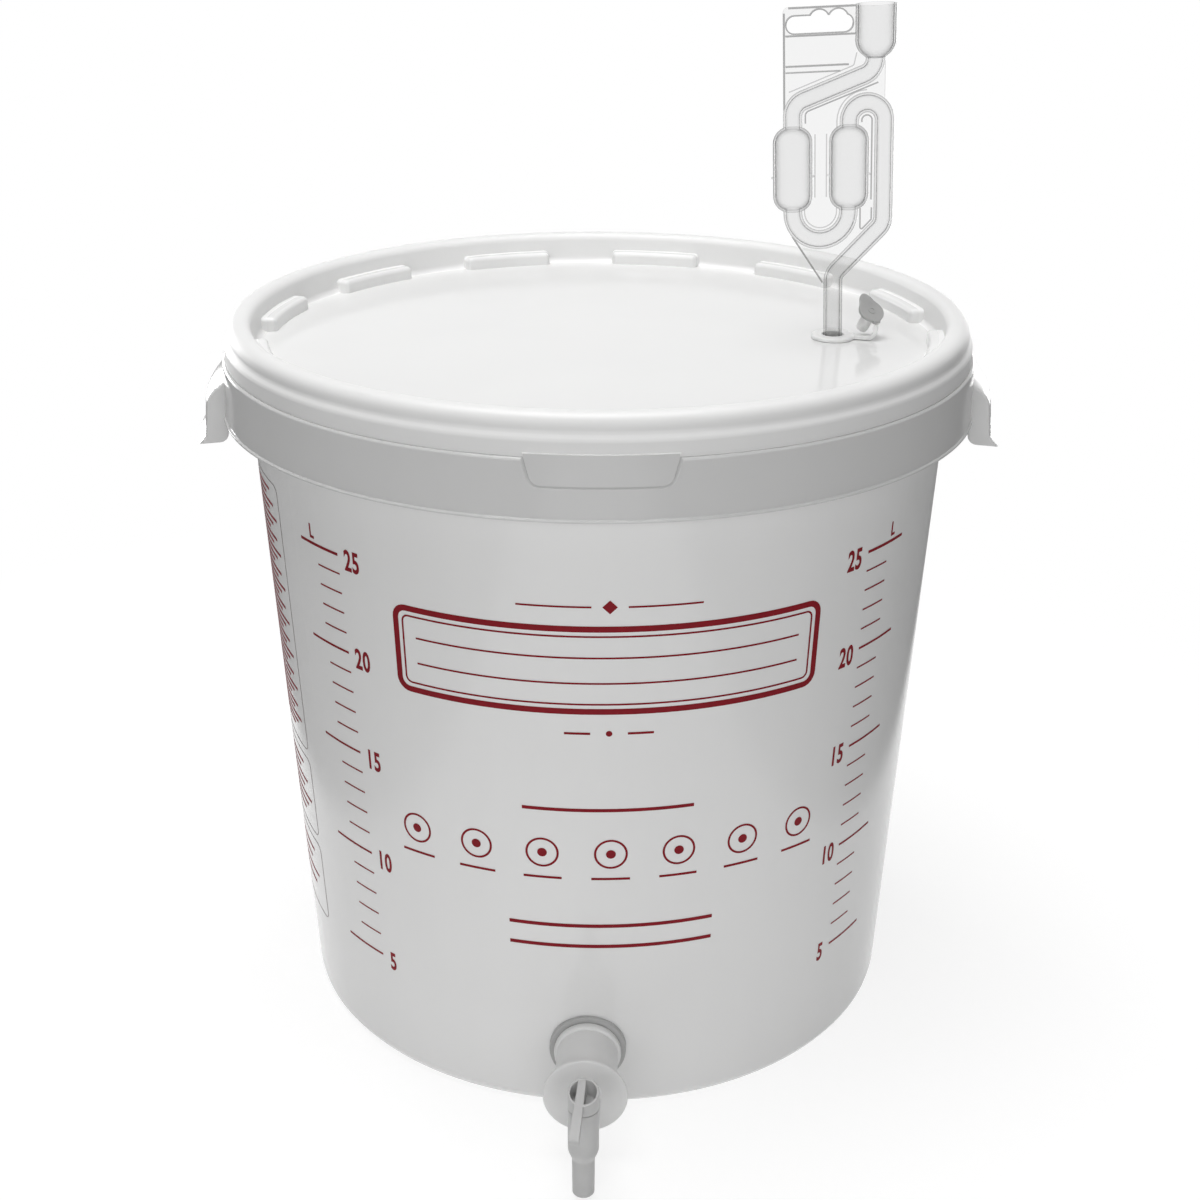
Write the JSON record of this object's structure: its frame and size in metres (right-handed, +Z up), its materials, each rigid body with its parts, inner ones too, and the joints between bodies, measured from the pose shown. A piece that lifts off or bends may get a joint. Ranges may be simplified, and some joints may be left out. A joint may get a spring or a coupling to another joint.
{
  "type": "fermentation bucket",
  "caption": "Tapered translucent plastic pail with a push-on lid and side grips, a clear bulbed S-bend airlock standing in a lid grommet, and a lever drain tap low at the front, for fermenting.",
  "frame": {"origin": "centre of the bucket's flat underside", "axes": "+Z up along the bucket's axis; -Y towards the tap and the lid's tongue; +X towards the airlock"},
  "size_m": [0.4108, 0.444, 0.5241],
  "materials": {
    "bucket_plastic": "translucent white, satin",
    "lid_plastic": "white, glossy floor",
    "clear_plastic": "clear, polished",
    "white_rubber": "soft white",
    "grey_rubber": "soft grey",
    "tap_plastic": "white, satin"
  },
  "bodies": {
    "bucket": {"bucket": "bucket_plastic", "tap_body": "tap_plastic", "tap_gasket": "white_rubber", "tap_inner_gasket": "white_rubber", "tap_nut": "tap_plastic"},
    "lid": {"lid": "lid_plastic", "lid_gasket": "white_rubber", "airlock_grommet": "white_rubber"},
    "airlock": {"airlock": "clear_plastic"},
    "stopper": {"stopper_cap": "grey_rubber"},
    "tap_plug": {"tap_plug": "tap_plastic"}
  },
  "joints": [
    {"name": "lid_lift", "type": "slide", "parent": "bucket", "child": "lid", "axis": [0, 0, 1], "range_m": [0, 0.15]},
    {"name": "airlock_pull", "type": "slide", "parent": "lid", "child": "airlock", "axis": [-0.048, 0, 0.9988], "range_m": [0, 0.06]},
    {"name": "stopper_flip", "type": "hinge", "parent": "lid", "child": "stopper", "pos_m": [0.14156, -0.00527, 0.3693], "axis": [0.9135, 0.4067, 0], "range_deg": [0, 70]},
    {"name": "tap_turn", "type": "hinge", "parent": "bucket", "child": "tap_plug", "pos_m": [-0.00595, -0.22735, 0.0385], "axis": [0, 0, 1], "range_deg": [0, 90]}
  ]
}
